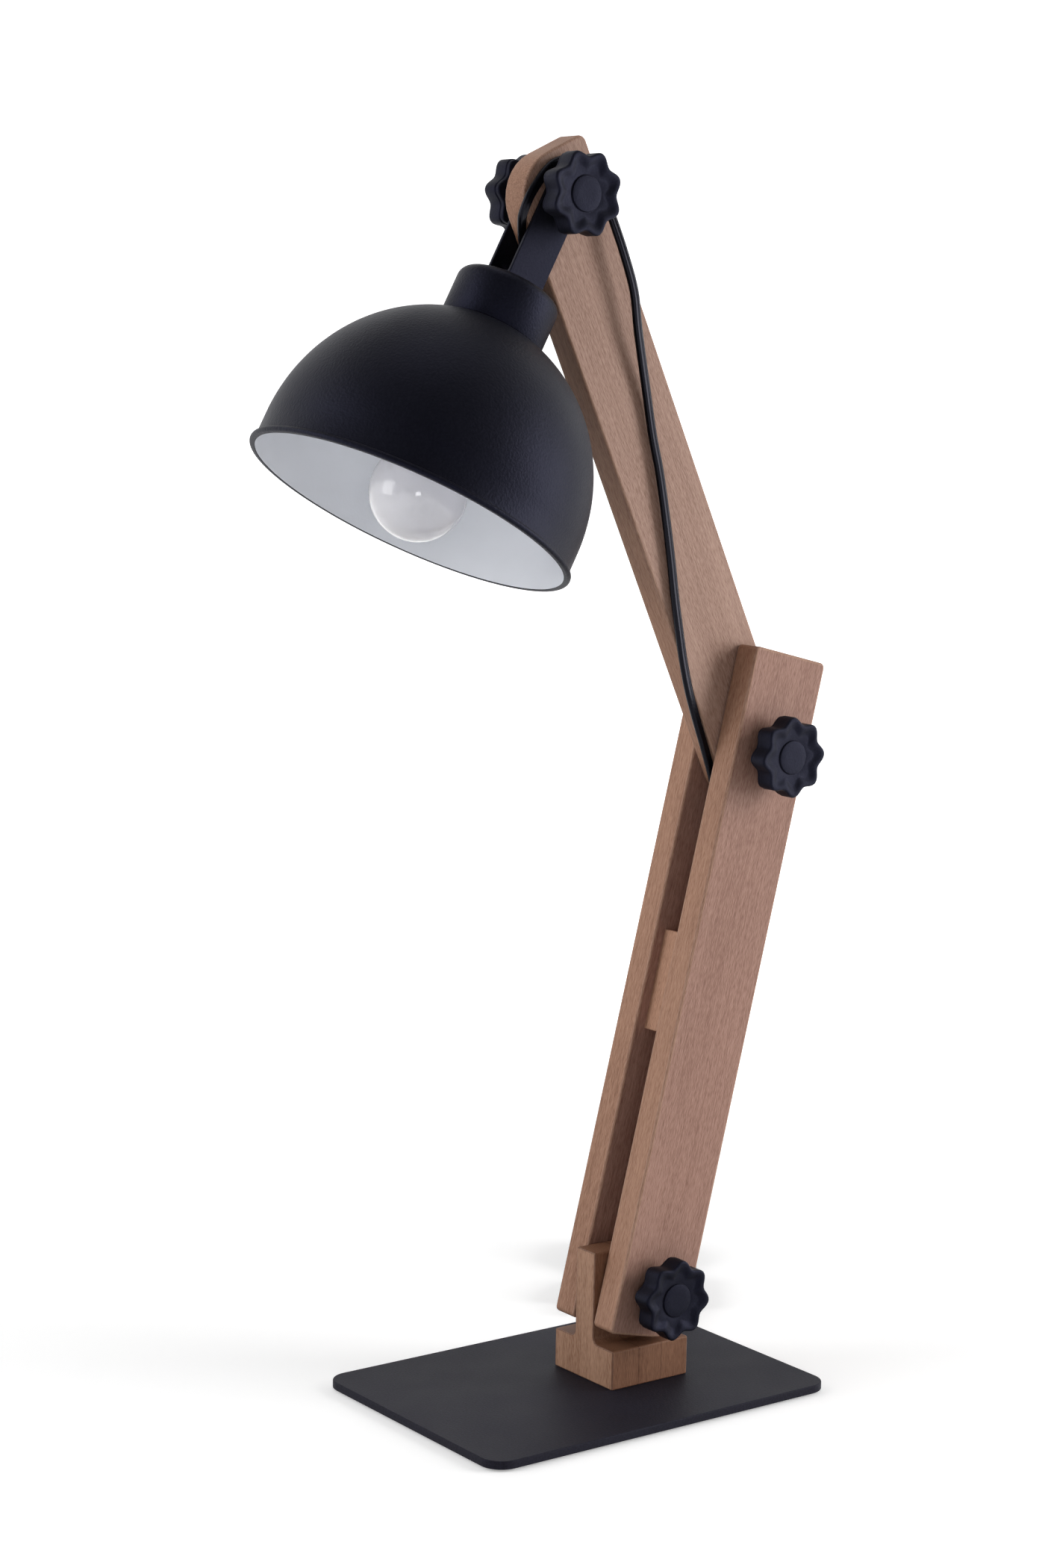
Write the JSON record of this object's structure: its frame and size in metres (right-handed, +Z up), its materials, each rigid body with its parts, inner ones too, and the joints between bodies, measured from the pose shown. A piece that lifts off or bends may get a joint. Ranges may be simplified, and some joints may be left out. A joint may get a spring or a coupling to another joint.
{
  "type": "jointed table lamp",
  "caption": "Jointed wooden table lamp with a black metal dome shade on a yoke, star knobs at its pivots, a flat steel base and a mains cord.",
  "frame": {"origin": "middle of the base's underside, on the table", "axes": "+Z up, -Y the way the shade faces, all arm pivots along X, knobs of the arm on +X"},
  "size_m": [0.2535, 0.3543, 0.59],
  "materials": {
    "plate": "matte powder coat",
    "pad": "matte",
    "board_wood": "satin stain",
    "foot_wood": "satin stain",
    "steel": "zinc plated",
    "washer": "matte",
    "knob": "fine texture",
    "brass": "plain",
    "coated_steel": "fine textured powder coat, white inside the shade",
    "holder": "satin",
    "bulb_cap": "plain",
    "opal_glass": "opal white",
    "cord": "satin",
    "tie": "matte",
    "fitting": "satin",
    "pin": "nickel plated"
  },
  "bodies": {
    "stand": {"base_pad": "pad", "base_plate": "plate", "foot_front_layer": "foot_wood", "foot_middle_layer_block": "foot_wood", "foot_rear_layer": "foot_wood", "foot_screw_front": "steel", "foot_screw_rear": "steel", "cord_base": "cord", "cord_lead": "cord", "cord_link": "cord", "cord_coil": "cord", "cord_tail": "cord", "coil_tie": "tie", "switch_base": "fitting", "switch_cover": "fitting", "plug_body": "fitting", "plug_pin_left": "pin", "plug_pin_right": "pin"},
    "lower_arm": {"lower_board_left": "board_wood", "lower_board_right": "board_wood", "spacer": "foot_wood", "spacer_dowel_low": "board_wood", "spacer_dowel_high": "board_wood", "base_bolt": "steel", "elbow_bolt": "steel", "base_washer_left": "washer", "base_washer_right": "washer", "elbow_washer_left": "washer", "elbow_washer_right": "washer", "cord_lower": "cord", "cord_elbow": "cord"},
    "upper_arm": {"upper_board": "board_wood", "head_stud": "steel", "cord_upper": "cord", "cord_head": "cord"},
    "head": {"yoke": "coated_steel", "neck_cup": "coated_steel", "shade": "coated_steel", "nut_upper": "steel", "nut_lower": "steel", "nipple": "steel", "cord_grip": "fitting", "holder_dome": "holder", "holder_body": "holder", "holder_ring": "holder", "bulb_cap": "bulb_cap", "bulb_globe": "opal_glass"},
    "base_knob": {"base_knob": "knob", "base_knob_insert": "brass", "base_knob_cap": "knob"},
    "elbow_knob": {"elbow_knob": "knob", "elbow_knob_insert": "brass", "elbow_knob_cap": "knob"},
    "head_knob_left": {"head_knob_left": "knob", "head_knob_left_insert": "brass", "head_knob_left_cap": "knob"},
    "head_knob_right": {"head_knob_right": "knob", "head_knob_right_insert": "brass", "head_knob_right_cap": "knob"},
    "switch_rocker": {"switch_rocker": "fitting"}
  },
  "joints": [
    {"name": "base_tilt", "type": "hinge", "parent": "stand", "child": "lower_arm", "pos_m": [0, 0.029, 0.0492], "axis": [1, 0, 0], "range_deg": [-10, 18], "deforming": ["cord_base"]},
    {"name": "elbow", "type": "hinge", "parent": "lower_arm", "child": "upper_arm", "pos_m": [0, 0.09143, 0.3053], "axis": [1, 0, 0], "range_deg": [-45, 60], "deforming": ["cord_elbow"]},
    {"name": "head_tilt", "type": "hinge", "parent": "upper_arm", "child": "head", "pos_m": [0, -0.02973, 0.56327], "axis": [-1, 0, 0], "range_deg": [0, 110], "deforming": ["cord_head"]},
    {"name": "base_knob_turn", "type": "hinge", "parent": "lower_arm", "child": "base_knob", "pos_m": [0, 0.029, 0.0492], "axis": [1, 0, 0], "continuous": true},
    {"name": "elbow_knob_turn", "type": "hinge", "parent": "lower_arm", "child": "elbow_knob", "pos_m": [0, 0.09143, 0.3053], "axis": [1, 0, 0], "continuous": true},
    {"name": "head_knob_left_turn", "type": "hinge", "parent": "upper_arm", "child": "head_knob_left", "pos_m": [0, -0.02973, 0.56327], "axis": [1, 0, 0], "continuous": true},
    {"name": "head_knob_right_turn", "type": "hinge", "parent": "upper_arm", "child": "head_knob_right", "pos_m": [0, -0.02973, 0.56327], "axis": [1, 0, 0], "continuous": true},
    {"name": "switch_rock", "type": "hinge", "parent": "stand", "child": "switch_rocker", "pos_m": [-0.08566, 0.13188, 0.0105], "axis": [-0.6428, -0.766, 0], "range_deg": [0, 16]}
  ]
}
